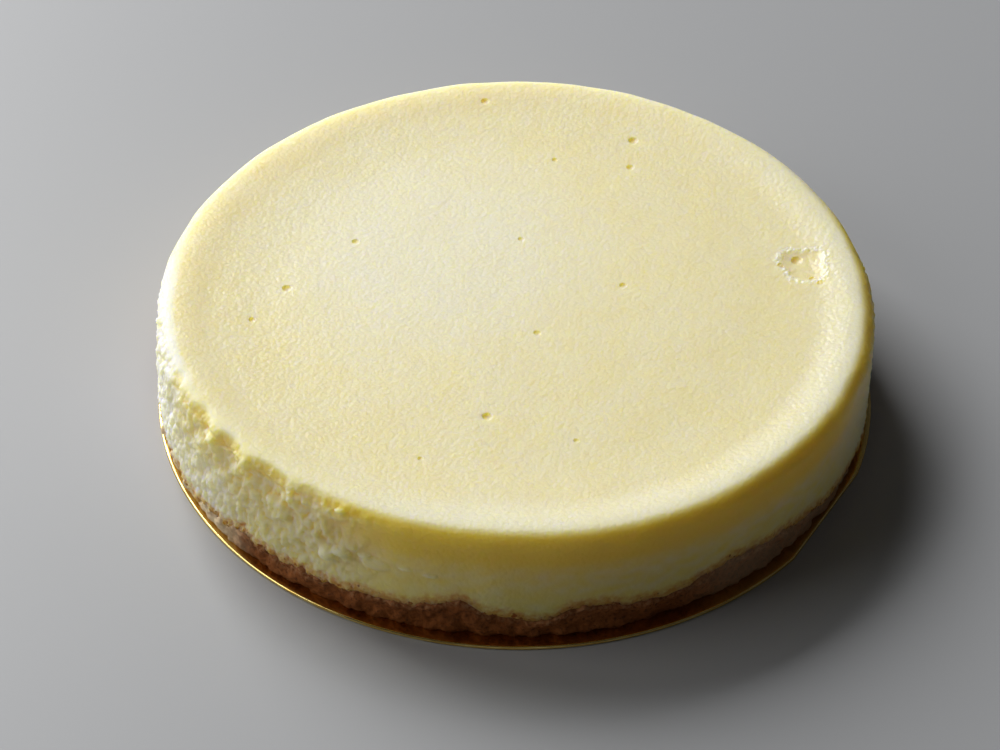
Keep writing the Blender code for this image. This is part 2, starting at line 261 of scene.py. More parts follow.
# Bands down the side: distance from the crest, width over which it changes.
TORN_START = (0.0006, 0.0020)
GRAIN_START = (0.0010, 0.0025)
ROUGH_START = (0.0020, 0.0030)
RIM_SHEEN_END = (0.0, 0.0012)
GLOW_START = (0.0002, 0.0026)
GLOW_THINS = (0.0085, 0.0060)
RIM_SHADE_BAND_END = (0.0030, 0.0040)
HOLLOW_END = (0.0040, 0.0040)
LOW_LEFT_LIGHT_START = (0.0110, 0.0060)

# How strong each mark is, from 0 to 1.
ROUGH_SHARE = 0.8
# painted sheen: how strongly the crumb in shade is painted paler
CRUMB_SHEEN_SHARE = 0.22
TORN_GOLD = 0.25
# painted shade in the pits between the torn grains
PIT_SHADE = 0.7
# painted shade in the scoops under the rim
SCOOP_SHADE = 0.6
# painted shade in the bubble hollows, the crater's floor and its holes
BUBBLE_SHADE = 0.15
CRATER_SHADE = 0.12
HOLE_SHADE = 0.35
# painted highlight on the torn grains' tops
LUMP_HIGHLIGHT = 0.3
# painted sheen on the rim, down its side and across the top
SIDE_RIM_SHEEN = 0.2
TOP_RIM_SHEEN = 0.35
# painted sheen: how much paler the top's middle is painted
MIDDLE_SHEEN = 0.45
FROTH_PALE = 0.55
# painted light: how much paler the filling's lower side is painted on the left
LOW_LEFT_LIGHT = 0.6
GLOW_LOSS = (0.4, 0.25)  # how much weaker the glow is lower down, and by how much that varies
GLOW_PATCHES = 0.0030  # size of the patches in which it varies
GLOW_SQUEEZE = 1.6  # how much longer than tall they are
PALE_OVER_GOLD = 0.8  # how far a pale mark hides the painted gold shade and glow

# Where on a grain, in a scoop and on the top they lie: start, width over which they change.
LUMP_TOPS = (0.45, 0.40)
LUMP_PITS = (0.05, 0.40)
SCOOP_GRAIN = (0.0003, 0.0005)  # depths of a scoop
SCOOP_HOLLOW = (0.0002, 0.0008)
TOP_RIM_SHEEN_END = (0.0, 0.0150)
MIDDLE_SHEEN_END = (0.016, 0.040)
CRATER_FLOOR_END = (0.7, 0.3)  # shares of its radius
HOLE_FLOOR_END = (0.8, 0.4)  # and of a hole's
BUBBLE_FLOOR_END = (0.30, 0.25)  # shares of a bubble's width
SHEEN_MIDDLE = Vector((-0.022, 0.018, 0.030))  # the middle of the painted sheen on the top, on the side towards the key lamp
DRIEST = 0.6  # how wet the top looks in its middle, against 1 at its left and right
WET_START = (0.040, 0.035)


def around(bearing, radius, height=0.0):
    """The point at this bearing and radius from the middle."""
    angle = math.radians(bearing)
    return Vector((radius * math.cos(angle), radius * math.sin(angle), height))


def ring_noise(bearing, lobes, layer):
    """Smooth noise from about -1 to 1 that closes on itself; lobes is how finely it varies."""
    return 1.6 * noise.noise(around(bearing, lobes, layer))


def fade(value, edge, width):
    """0 below edge, 1 above edge + width, and smooth between."""
    share = min(1.0, max(0.0, (value - edge) / width))
    return share * share * (3.0 - 2.0 * share)


def bearing_of(point):
    return math.degrees(math.atan2(point.y, point.x))


def turn_between(a, b):
    """The angle from a to b, in degrees from -180 to 180."""
    return (b - a + 180.0) % 360.0 - 180.0


def bearings(count):
    return [360.0 * step / count for step in range(count)]


def near(bearing, middle, half_width, fading):
    """1 within half_width degrees of a bearing, fading to 0 beyond it."""
    return 1.0 - fade(abs(turn_between(middle, bearing)), half_width, fading)


# ---- the plan of the side ----


def plan_radius(bearing):
    oval = CAKE_OVAL * math.cos(math.radians(2.0 * bearing))
    return CAKE_RADIUS + oval - FLAT * near(bearing, FLAT_SIDE, 14.0, 45.0)


def wall_radius(bearing):
    """Radius of the wall at its foot."""
    return plan_radius(bearing) + BULGE * near(bearing, BULGE_SIDE, 14.0, 30.0)


def crest_radius(bearing):
    """Radius of the rim's highest line."""
    setback = sum(most * near(bearing, side, half, span) for side, half, span, most in SETBACKS)
    return plan_radius(bearing) - RIM_ROUND - setback


# ---- the boundary between base and filling ----


def boundary_height(bearing):
    """Height of the base's upper edge at the side, crumbs included."""
    for (left, low), (right, high) in zip(BASE_EDGE, BASE_EDGE[1:] + BASE_EDGE[:1]):
        span = (right - left) % 360.0
        past = (bearing - left) % 360.0
        if past < span:
            height = low + (high - low) * fade(past, 0.0, span)
            break
    crags = ring_noise(bearing, 15.0, 9.1) + 0.6 * ring_noise(bearing, 31.0, 2.7)
    return max(height + 0.5 * BASE_CRAGS * crags, BASE_FOOT + BASE_LEAST)


def base_side_radius(bearing, height):
    """Radius of the base's side, with the crumbs that stand out of it."""
    inset = BASE_INSET + BASE_EXTRA_INSET * (0.5 + 0.5 * math.cos(math.radians(bearing))) ** 2
    share = min(1.0, (height - BASE_FOOT) / BASE_TALL)
    plain = wall_radius(bearing) - inset * (1.0 - share)
    return plain + BASE_RELIEF * (noise.noise(around(bearing, plain, height) / BASE_LUMPS) - 0.2)


def dome(point, size):
    """0 between lumps of about this size, and up to 1 on top of each."""
    apart = noise.voronoi(point / size)[0][0]
    return max(0.0, 1.0 - DOME_FALL * apart * apart)


def fine_crag(bearing):
    """How far single crumbs stand up past the boundary."""
    return sum(height * ring_noise(bearing, lobes, layer) for height, lobes, layer in CRAGS)


def cream_and_light_share(bearing):
    """How thick the cream lies that is smeared on the base's side, from 0 to 1; it also carries
    painted light on the left and a painted sheen further round.
    """
    return max(near(bearing, *CREAM_AND_LIGHT_SIDE), CRUMB_SHEEN_SHARE * near(bearing, *CRUMB_SHEEN))


def base_grain(point):
    """Fine crumb relief of the base, in metres outwards."""
    large, small = CRUMB_SIZES
    crumbs = dome(point, large) + SMALL_CRUMBS * dome(point + SMALL_CRUMBS_SHIFT, small)
    return CRUMB_HEIGHT * (crumbs - CRUMB_SINK)


# ---- the filling's rim, side and top ----


RIM_ARC = 0.5 * math.pi * RIM_ROUND
SHOULDER = CAKE_TOP - RIM_ROUND
SIDE_LENGTH = RIM_ARC + SHOULDER - BASE_HEAD


def side_station(bearing, path):
    """(radius, height, outward normal) at a distance along the outline from the rim's crest."""
    crest = crest_radius(bearing)
    if path < RIM_ARC:
        lean = path / RIM_ROUND
        out = Vector((math.sin(lean), math.cos(lean)))
        return crest + RIM_ROUND * out.x, SHOULDER + RIM_ROUND * out.y, out
    drop = path - RIM_ARC
    share = min(1.0, drop / (SHOULDER - BASE_HEAD))
    shoulder = crest + RIM_ROUND
    radius = shoulder + share * (wall_radius(bearing) - shoulder)
    return radius, SHOULDER - drop, Vector((1.0, 0.0))


def torn_share(bearing):
    """1 in the torn patch and 0 away from it."""
    return near(bearing, TEAR_SIDE, TEAR_HALF_WIDTH - 0.5 * TEAR_FADE, TEAR_FADE)


def bite_depth(bearing, path):
    """How much of the rim is gone, measured along its normal: rounded scoops."""
    reach = BITE_ABOVE if path < BITE_PATH else BITE_BELOW
    down = (path - BITE_PATH) / reach
    depth = 0.0
    for middle, half_width, most in RIM_BITES:
        off = math.radians(turn_between(middle, bearing)) * CAKE_RADIUS / half_width
        left = max(0.0, 1.0 - off * off - down * down)
        depth = max(depth, most * left**0.75)
    return depth


def side_loss(bearing, path, point):
    """How far the side lies inside its plain outline: tears, scoops and small unevenness."""
    lumps = 0.55 + noise.noise(point / TEAR_LUMPS) + 0.4 * noise.noise(point / (0.5 * TEAR_LUMPS))
    torn = TEAR_DEPTH * torn_share(bearing) * max(0.0, lumps) * fade(path, 0.001, 0.004)
    torn *= 1.0 - 0.6 * fade(path, SIDE_LENGTH - 0.008, 0.006)
    uneven = WALL_RELIEF * (1.0 + noise.noise(point / WALL_LUMPS)) * fade(path, 0.0, RIM_ROUND)
    return torn + uneven + bite_depth(bearing, path)


def lump_share(point):
    """How far up a grain of the torn side this point is: 0 in the pits and 1 on top."""
    large = dome(point, GRAIN_SIZES[0])
    small = dome(point + SMALL_GRAINS_SHIFT, GRAIN_SIZES[1])
    return GRAIN_SHARES[0] * large + GRAIN_SHARES[1] * small


def side_grain(bearing, path, point):
    """Fine relief of the side, in metres inwards: grains where it is torn, faint waves elsewhere."""
    torn = torn_share(bearing) * fade(path, *GRAIN_START)
    torn = max(torn, fade(bite_depth(bearing, path), *SCOOP_GRAIN))
    torn = max(torn, ROUGH_SHARE * near(bearing, *ROUGH) * fade(path, *ROUGH_START))
    waves = noise.noise(Vector((point.x, point.y, WAVE_SQUEEZE * point.z)) / WAVE_SIZE)
    return torn * (GRAIN_DEPTH * (1.0 - lump_share(point)) - GRAIN_PROUD) + WAVE_HEIGHT * waves


def painted_glow(bearing, path, point):
    """How strongly the painted glow lies on the smooth shaded side here, from 0 to 1."""
    patches = noise.noise(Vector((point.x, point.y, GLOW_SQUEEZE * point.z)) / GLOW_PATCHES)
    glow = near(bearing, *PAINTED_GLOW)
    glow *= 1.0 - fade(path, *GLOW_THINS) * (GLOW_LOSS[0] + GLOW_LOSS[1] * patches)
    band = near(bearing, *RIM_SHADE_BAND) * (1.0 - fade(path, *RIM_SHADE_BAND_END))
    return max(glow, band) * fade(path, *GLOW_START)


def side_marks(bearing, path, point, smear):
    """(paleness, gold) of the side here, each from 0 to 1: paleness is cream smears, painted
    highlights and painted light; the gold is mostly painted shade and glow, with some tint in the torn
    patch.
    """
    torn = torn_share(bearing) * fade(path, *TORN_START)
    lump = lump_share(point)
    # painted light on the left, where the lamp falls full on the side
    lit_left = near(bearing, *LIT_LEFT)
    # painted light: the filling's lower side is painted paler on the left, where the lamp falls
    cream_and_light = LOW_LEFT_LIGHT * near(bearing, *CREAM_AND_LIGHT_SIDE) * fade(path, *LOW_LEFT_LIGHT_START)
    # painted sheen on the rim
    rim = SIDE_RIM_SHEEN * near(bearing, *RIM_SHEEN) * (1.0 - fade(path, *RIM_SHEEN_END))
    # painted highlights on the torn grains' tops
    pale = max(LUMP_HIGHLIGHT * torn * fade(lump, *LUMP_TOPS), smear, rim, lit_left, cream_and_light)
    glow = painted_glow(bearing, path, point) * (1.0 - smear)
    # painted shade in the pits between the grains
    pits = torn * (1.0 - fade(lump, *LUMP_PITS)) * (1.0 - lit_left)
    # painted shade in the scoops under the rim
    hollows = fade(bite_depth(bearing, path), *SCOOP_HOLLOW) * (1.0 - fade(path, *HOLLOW_END))
    golden_and_shade = max(TORN_GOLD * torn * (1.0 - lit_left), PIT_SHADE * pits, glow, SCOOP_SHADE * hollows)
    return pale, golden_and_shade * (1.0 - PALE_OVER_GOLD * max(smear, cream_and_light))


def smear_share(bearing, height):
    """(how far a smear stands out here, how pale it is from 0 to 1)."""
    lift = 0.0
    share = 0.0
    for middle, level, half_length, half_height, most, paleness in SMEARS:
        along = math.radians(turn_between(middle, bearing)) * CAKE_RADIUS / half_length
        up = (height - level) / half_height
        left = max(0.0, 1.0 - along * along - up * up)
        lift = max(lift, most * left**0.5)
        share = max(share, paleness * min(1.0, SMEAR_EDGE * left))
    return lift, share


def dent(distance, radius, depth):
    """Depth of a round dent with steep walls, at a distance from its middle."""
    share = distance / radius
    return depth * (1.0 - share**4) if share < 1.0 else 0.0


def crater_rim(bearing):
    """The crater's radius, by the bearing from its own middle."""
    square = -CRATER_SQUARE * math.cos(math.radians(4.0 * bearing))
    cut = -CRATER_CUT * near(bearing, CRATER_CUT_SIDE, 8.0, 42.0)
    return CRATER_RADIUS * (1.0 + square + cut + CRATER_UNEVEN * ring_noise(bearing, 1.6, 6.0))


def crater_middle():
    return around(CRATER_BEARING, CRATER_DISTANCE)


def crater_holes():
    """(middle, radius, depth) of each hole in and by the crater."""
    return [(crater_middle() + Vector((x, y, 0.0)), r, d) for x, y, r, d in CRATER_HOLES]


def froth_share(off):
    """How frothy the top is at this offset from the crater's middle, from 0 to 1."""
    from_rim = abs(off.length - FROTH_RING * crater_rim(bearing_of(off)))
    ragged = FROTH_RAGGED[0] * noise.noise(Vector((*off, 0.0)) / FROTH_RAGGED[1])
    return 1.0 - fade(from_rim + ragged, FROTH_HALF_WIDTH, FROTH_FADE)


def dish_depth(point, inside):
    """How far the dish lies below the crest here, at this distance inside the crest."""
    lean = DISH_LEAN * point.xy.dot(around(DISH_SIDE, 1.0).xy) / CAKE_RADIUS
    rim = DISH_RIM[0] * (1.0 - DISH_LEAN + lean) * fade(inside, 0.0, DISH_RIM[1])
    return rim + DISH_REST[0] * fade(inside, 0.0, DISH_REST[1])


def crater_relief(off):
    """How far the crater's froth and floor stand up at this offset from its middle."""
    flat = Vector((*off, 0.0))
    froth = FROTH_HEIGHT * froth_share(off) * (dome(flat, FROTH_BUBBLE) - FROTH_SINK)
    return froth + RIPPLE_HEIGHT * noise.noise(flat / RIPPLE_SIZE)


def top_height(point):
    """Height of the filling's top: the dish, less the bubbles and the crater."""
    inside = crest_radius(bearing_of(point)) - point.xy.length
    height = CAKE_TOP - dish_depth(point, inside)
    for middle, width in BUBBLE_MIDDLES:
        away = (point - middle).xy.length
        if away < 0.5 * width:
            height -= dent(away, 0.5 * width, BUBBLE_DEPTH * width)
    off = (point - CRATER_MIDDLE).xy
    if off.length < CRATER_PATCH:
        height -= dent(off.length, crater_rim(bearing_of(off)), CRATER_DEPTH)
        for middle, radius, depth in HOLES:
            height -= dent((point - middle).xy.length, radius, depth)
        height += crater_relief(off)
    sway = noise.noise(point / SWAY_SIZES[0]) + SMALL_SWAY * noise.noise(point / SWAY_SIZES[1])
    return height + SWAY_HEIGHT * sway * fade(inside, 0.0, SWAY_MARGIN)


def top_marks(point):
    """(paleness, gold) of the top here, each from 0 to 1: paleness is the froth and a painted sheen;
    the gold is painted shade in the bubbles, the crater and its holes.
    """
    bearing = bearing_of(point)
    inside = crest_radius(bearing) - point.xy.length
    # painted sheen on the rim
    pale = TOP_RIM_SHEEN * near(bearing, *RIM_SHEEN) * (1.0 - fade(inside, *TOP_RIM_SHEEN_END))
    # painted sheen over the top's middle
    from_middle = (point - SHEEN_MIDDLE).length
    pale = max(pale, MIDDLE_SHEEN * (1.0 - fade(from_middle, *MIDDLE_SHEEN_END)))
    # painted shade in the bubbles, the crater's floor and its holes
    golden_and_shade = 0.0
    for middle, width in BUBBLE_MIDDLES:
        start, change = (share * width for share in BUBBLE_FLOOR_END)
        hollow = 1.0 - fade((point - middle).xy.length, start, change)
        golden_and_shade = max(golden_and_shade, BUBBLE_SHADE * hollow)
    off = (point - CRATER_MIDDLE).xy
    if off.length < CRATER_PATCH:
        pale = max(pale, FROTH_PALE * froth_share(off))
        floor = 1.0 - fade(off.length / crater_rim(bearing_of(off)), *CRATER_FLOOR_END)
        golden_and_shade = max(golden_and_shade, CRATER_SHADE * floor)
        pale *= 1.0 - floor
        for middle, radius, _ in HOLES:
            start, change = (share * radius for share in HOLE_FLOOR_END)
            hollow = 1.0 - fade((point - middle).xy.length, start, change)
            golden_and_shade = max(golden_and_shade, HOLE_SHADE * hollow)
    return pale, golden_and_shade


def wet_share(point):
    """How wet the top looks: most near the left and the right rim."""
    side = abs(math.cos(math.radians(bearing_of(point))))
    return DRIEST + (1.0 - DRIEST) * side * fade(point.xy.length, *WET_START)


BUBBLE_MIDDLES = [(around(bearing, distance), width) for bearing, distance, width in BUBBLES]
CRATER_MIDDLE = crater_middle()
HOLES = crater_holes()


# ---- points and faces ----


def hex_grid(radius, spacing):
    """Points of a triangular grid inside a circle."""
    points = []
    rows = int(radius / (spacing * math.sqrt(0.75)))
    for row in range(-rows, rows + 1):
        y = row * spacing * math.sqrt(0.75)
        half = math.sqrt(radius**2 - y**2)
        columns = int(half / spacing)
        shift = 0.5 * spacing * (row % 2)
        for column in range(-columns, columns + 1):
            x = column * spacing + shift
            if math.hypot(x, y) < radius:
                points.append(Vector((x, y, 0.0)))
    return points


def dent_rings(middle, radius_at, shares, segments):
    """Rings of points that carry a dent's shape, and its middle."""
    rings = [middle.copy()]
    for share in shares:
        for bearing in bearings(segments):
            rings.append(middle + around(bearing, share * radius_at(bearing)))
    return rings


def top_points():
    """Points inside the crest: a grid, with the dents' own rings and a finer patch at the crater."""
    dents = []
    taken = [(CRATER_MIDDLE, CRATER_PATCH)]
    for middle, width in BUBBLE_MIDDLES:
        dents += dent_rings(middle, lambda _, r=0.5 * width: r, BUBBLE_RINGS, BUBBLE_SEGMENTS)
        taken.append((middle, BUBBLE_CLEAR * width))
    patch = [CRATER_MIDDLE + p for p in hex_grid(CRATER_PATCH - PATCH_MARGIN, CRATER_SPACING)]
    for middle, radius, _ in HOLES:
        dents += dent_rings(middle, lambda _, r=radius: r, HOLE_RINGS, HOLE_SEGMENTS)
        patch = [p for p in patch if (p - middle).length > HOLE_CLEAR * radius]
    grid = hex_grid(CAKE_RADIUS, TOP_SPACING)
    margin = RIM_CLEAR * TOP_SPACING
    grid = [p for p in grid if p.length < crest_radius(bearing_of(p)) - margin]
    grid = [p for p in grid if all((p - m).length > r for m, r in taken)]
    return dents + patch + grid


def filled_face(outline, inner):
    """Triangles over an outline and the points inside it, as indices into outline + inner."""
    points = [p.xy for p in outline + inner]
    edge = [list(range(len(outline)))]
    found = delaunay_2d_cdt(points, [], edge, 1, 1e-9)
    source = [indices[0] for indices in found[3]]
    return [[source[corner] for corner in face] for face in found[2]]


def band(lower, upper, count):
    """Quads between two closed rings of vertices that start at these indices."""
    faces = []
    for step in range(count):
        following = (step + 1) % count
        faces.append([lower + step, lower + following, upper + following, upper + step])
    return faces


def closed_solid(name, rings, top_inner, offset):
    """A solid from a stack of rings, lowest first, closed by a bottom and by a top with points."""
    count = len(rings[0])
    verts = [p for ring in rings for p in ring] + top_inner
    faces = []
    for row in range(len(rings) - 1):
        faces += band(row * count, (row + 1) * count, count)
    for face in filled_face(rings[0], []):
        faces.append(list(reversed(face)))
    last_ring = (len(rings) - 1) * count  # the points inside the top follow straight on from it
    for face in filled_face(rings[-1], top_inner):
        faces.append([last_ring + corner for corner in face])
    mesh = bpy.data.meshes.new(name)
    mesh.from_pydata([p + offset for p in verts], [], faces)
    mesh.shade_smooth()
    piece = bpy.data.objects.new(name, mesh)
    bpy.context.scene.collection.objects.link(piece)
    return piece


def add_attribute(piece, name, values):
    layer = piece.data.attributes.new(name, "FLOAT", "POINT")
    layer.data.foreach_set("value", np.asarray(values, dtype=np.float32))


def column_bearings():
    """Bearings of the side's columns, closer together where the side has grain."""
    steps = []
    bearing = -180.0
    while bearing < 180.0 - 1e-6:
        steps.append(bearing)
        fine = any(near(bearing, middle, half, 0.1) > 0.5 for middle, half in FINE_STRETCHES)
        bearing += FINE_STEP if fine else PLAIN_STEP
    if 180.0 - steps[-1] < 0.5 * FINE_STEP:
        steps.pop()
    return steps


# ---- the pieces ----


def filling_point(bearing, edge, share):
    """(point, height above the boundary, marks) at this share of the way up the filling's side."""
    path = (RIM_ARC + SHOULDER - edge + LAP) * (1.0 - share)
    radius, height, out = side_station(bearing, path)
    plain = around(bearing, radius, height)
    loss = side_loss(bearing, path, plain) + side_grain(bearing, path, plain)
    lift, smear = smear_share(bearing, height)
    loss = loss * (1.0 - min(1.0, SMEAR_COVER * smear))
    rise = height - edge
    loss += FILLING_TUCK * (1.0 - fade(rise, -LAP, LAP)) - lift
    point = around(bearing, radius - loss * out.x, min(CAKE_TOP, height - loss * out.y))
    return point, rise, (*side_marks(bearing, path, plain, smear), 0.0)


def make_filling():
    steps = column_bearings()
    edges = [boundary_height(bearing) for bearing in steps]
    rings = []
    rises = []
    marks = []
    for row in range(SIDE_ROWS + 1):
        ring = [filling_point(b, edge, row / SIDE_ROWS) for b, edge in zip(steps, edges)]
        rings.append([point for point, _, _ in ring])
        rises += [rise for _, rise, _ in ring]
        marks += [mark for _, _, mark in ring]
    top = top_points()
    for point in top:
        point.z = top_height(point)
    piece = closed_solid("cheese_filling_dressed", rings, top, CAKE_MIDDLE)
    add_attribute(piece, "rise", rises + [CAKE_TOP - BASE_HEAD] * len(top))
    marks += [(*top_marks(point), wet_share(point)) for point in top]
    # the gold marks are mostly painted shade and glow; the pale ones include painted highlights and
    # sheen
    for name, values in zip(("pale", "golden_and_shade", "wet"), zip(*marks)):
        add_attribute(piece, name, values)
    return piece


def base_point(bearing, edge, share):
    """(point, height above the boundary, height above the foot) at this share of the way up."""
    foot = BASE_FOOT - SEAT_GAP
    height = foot + share * (edge + LAP - foot)
    radius = base_side_radius(bearing, min(height, edge))
    rise = height - edge
    radius += base_grain(around(bearing, radius, height))
    radius -= BASE_TUCK * fade(rise, -BASE_TUCK_START, LAP + BASE_TUCK_START)
    radius -= BASE_FOOT_TUCK * (1.0 - fade(height, foot, BASE_FOOT_TALL))
    return around(bearing, radius, height), rise, height - BASE_FOOT


def make_base():
    steps = bearings(BASE_COLUMNS)
    edges = [boundary_height(bearing) + fine_crag(bearing) for bearing in steps]
    rings = []
    rises = []
    feet = []
    for row in range(BASE_ROWS + 1):
        ring = [base_point(b, edge, row / BASE_ROWS) for b, edge in zip(steps, edges)]
        rings.append([point for point, _, _ in ring])
        rises += [rise for _, rise, _ in ring]
        feet += [foot for _, _, foot in ring]
    # cream smeared on the base's side, with painted light on the left and a painted sheen further
    # round
    cream_and_light = [cream_and_light_share(bearing) for bearing in steps]
    darker_crumb = [near(bearing, *DARKER_CRUMB_SIDE) for bearing in steps]
    piece = closed_solid("crumb_base_dressed", rings, [], CAKE_MIDDLE)
    add_attribute(piece, "rise", rises)
    add_attribute(piece, "foot", feet)
    add_attribute(piece, "cream_and_light", cream_and_light * len(rings))
    add_attribute(piece, "darker_crumb", darker_crumb * len(rings))
    return piece


def card_radius(bearing):
    """The card's radius: round, less the straight cut between the two corners."""
    half = 0.5 * (CARD_CUT[1] - CARD_CUT[0])
    off = abs(turn_between(CARD_CUT[0] + half, bearing))
    if off >= half:
        return CARD_RADIUS
    return CARD_RADIUS * math.cos(math.radians(half)) / math.cos(math.radians(off))


def card_edge():
    """(inset, height) of each point of the card's rounded edge, from its underside up."""
    straight = 0.5 * CARD_THICKNESS - CARD_EDGE_ROUND
    profile = []
    for lean in range(-90, 91, CARD_EDGE_STEP):
        angle = math.radians(lean)
        inset = CARD_EDGE_ROUND * (1.0 - math.cos(angle))
        lift = straight if lean > 0 else -straight
        profile.append((inset, 0.5 * CARD_THICKNESS + lift + CARD_EDGE_ROUND * math.sin(angle)))
    return profile


def make_card():
    steps = sorted(set(bearings(CARD_COLUMNS)) | {corner % 360.0 for corner in CARD_CUT})
    edge = card_edge()
    profile = edge + [(inset, CARD_THICKNESS) for inset in CARD_RINGS]
    rings = []
    for inset, height in profile:
        rings.append([around(b, card_radius(b) - inset, height) for b in steps])
    piece = closed_solid("gold_card_dressed", rings, [], Vector())
    # the face inside the rounded edge takes the painted reflection
    inner = [0.0] * (len(edge) * len(steps))
    inner += [1.0] * (len(piece.data.vertices) - len(inner))
    add_attribute(piece, "inner", inner)
    return piece


# ---- materials ----

FILLING_COLOUR = (0.99, 0.835, 0.54)
FILLING_MOTTLE = (0.985, 0.815, 0.47)
# pale cream of smears and froth, also used for painted highlights, sheen and light
PALE_AND_LIT_CREAM = (0.997, 0.90, 0.78)
# painted shade and glow: the gold cream of the shaded hollows, pits and side, also the torn patch's
# tint
GOLD_AND_SHADE_CREAM = (0.985, 0.71, 0.12)
HAZE_BROWN = (0.74, 0.34, 0.08)  # cream with fine crumb in it
HAZE_SPOT = (0.38, 0.11, 0.02)
CRUMB_LIGHT = (0.37, 0.125, 0.034)
CRUMB_DARK = (0.22, 0.064, 0.012)
# crumb specks, also the painted shade at the base's foot
SPECK_AND_SHADE_CRUMB = (0.10, 0.030, 0.008)
CRUMB_CREAM = (0.52, 0.30, 0.15)
CRUMB_LIP = (0.36, 0.15, 0.05)  # single crumbs at the boundary
# the cream smeared on the base's side; the same colour paints light and sheen on the crumb
SMEAR_AND_LIGHT_CREAM = (0.85, 0.69, 0.44)
GOLD = (1.0, 0.76, 0.27)
DULL_GOLD = (0.90, 0.61, 0.17)
REFLECTION_SHADE_GOLD = (0.70, 0.46, 0.14)  # painted reflection: the card's face inside its edge, painted duller as the foil mirrors the brown crumb and shade beside it
FLOOR_GREY = (0.37, 0.376, 0.386)

# Patterns of noise in the materials: size, detail.
CREAM_PATCHES = (0.014, 3.0)
CREAM_BLOTCHES = (0.0028, 3.0)
CREAM_FINE = (0.0013, 2.0)
HAZE_CRUMBS = (0.0015, 3.0)
CRUMB_PATCHES = (0.0035, 4.0)
CRUMB_FINE = (0.0009, 3.0)
FOIL_SMUDGES = (0.006, 3.0)
FOIL_WAVES = (0.003, 2.0)

# How a pattern is stretched: low, high, and what these become, where that isn't 0 and 1.
CREAM_MOTTLE = (0.80, 1.20)
HAZE_UNEVEN = (0.3, 0.7, -0.35, 0.35)
HAZE_SPOT_EDGE = (0.0, 0.10)
CRUMB_MOTTLE = (0.35, 0.65)
CRUMB_SPECKS = (0.52, 0.75)
BETWEEN_CRUMBS = (0.42, 0.54, 1.0, 0.1)
SMEAR_PATCHES = (0.50, 0.80, 1.0, 0.3)
FOIL_MOTTLE = (0.4, 0.6)
FOIL_ROUGHNESS = (0.3, 0.7, 0.12, 0.24)

# The same by height above the boundary.
HAZE_THINS = (0.0002, 0.0038, 1.0, 0.0)
HAZE_ENDS = (0.0018, 0.0040, 1.0, 0.0)
HAZE_SPOTS = (0.0, 0.0036, 0.52, 0.80)  # the noise above which a spot shows
CREAMY_EDGE = (-0.0022, -0.0002, 0.0, 0.5)
LIP = (-0.0005, 0.0002)
FOOT_SHADE = (0.0, 0.0022, 0.35, 0.0)  # painted shade at the base's foot, by height above the foot

FILLING_SCATTER = (7.5, 7.0, 0.8)  # millimetres that red, green and blue light travel inside
MILLIMETRE = 0.001
CREAM_ROUGHNESS = (0.0, 1.0, 0.80, 0.30)  # by how wet it looks
CREAM_SPECULAR = 0.35
CREAM_GRAINS = 0.0012  # size of the rounded grains in its relief
CREAM_GRAIN_SHAPE = (0.0, 0.8, 0.6, 0.0)  # their height, by the distance from their middle
CREAM_BUMP = (0.00019, 0.65)  # height of the relief, and its strength
CRUMB_ROUGHNESS = 0.8
CRUMB_SPECULAR = 0.2
CRUMB_BUMP = (0.0003, 0.8)
DARKER_CRUMB_SHARE = 0.6  # how much of the darker crumb there is where it is darkest
FOIL_BUMP = (0.0001, 0.4)
FLOOR_ROUGHNESS = 0.5


def new_material(name):
    made = bpy.data.materials.new(name)
    made.use_nodes = True
    tree = made.node_tree
    return made, tree, tree.nodes["Principled BSDF"]


def node(tree, kind, inputs=(), **settings):
    """A shader node with its settings, and its inputs set to values or linked to sockets."""
    made = tree.nodes.new(kind)
    for key, value in settings.items():
        setattr(made, key, value)
    for key, value in dict(inputs).items():
        if isinstance(value, bpy.types.NodeSocket):
            tree.links.new(value, made.inputs[key])
        else:
            made.inputs[key].default_value = value
    return made


def place_coords(tree):
    return tree.nodes.new("ShaderNodeTexCoord").outputs["Object"]


def grain(tree, coords, size, detail):
    """Noise from 0 to 1 whose features are about this size, in metres."""
    made = node(tree, "ShaderNodeTexNoise", {"Vector": coords, "Scale": 1.0 / size, "Detail": detail})
    return made.outputs["Fac"]


def ramp(tree, value, low, high, start=0.0, end=1.0):
    """value stretched so that low becomes start and high becomes end, held there beyond."""
    inputs = {"Value": value, "From Min": low, "From Max": high, "To Min": start, "To Max": end}
    return node(tree, "ShaderNodeMapRange", inputs).outputs["Result"]


def math_node(tree, operation, a, b):
    return node(tree, "ShaderNodeMath", {0: a, 1: b}, operation=operation).outputs[0]


def mix_colours(tree, share, a, b):
    made = node(tree, "ShaderNodeMix", data_type="RGBA")
    for key, value in ((0, share), (6, a), (7, b)):
        if isinstance(value, bpy.types.NodeSocket):
            tree.links.new(value, made.inputs[key])
        elif key == 0:
            made.inputs[key].default_value = value
        else:
            made.inputs[key].default_value = (*value, 1.0)
    return made.outputs[2]


def attribute(tree, name):
    return node(tree, "ShaderNodeAttribute", attribute_name=name).outputs["Fac"]


def set_bump(tree, shader, height, distance, strength):
    bump = node(tree, "ShaderNodeBump", {"Height": height, "Distance": distance, "Strength": strength})
    tree.links.new(bump.outputs["Normal"], shader.inputs["Normal"])


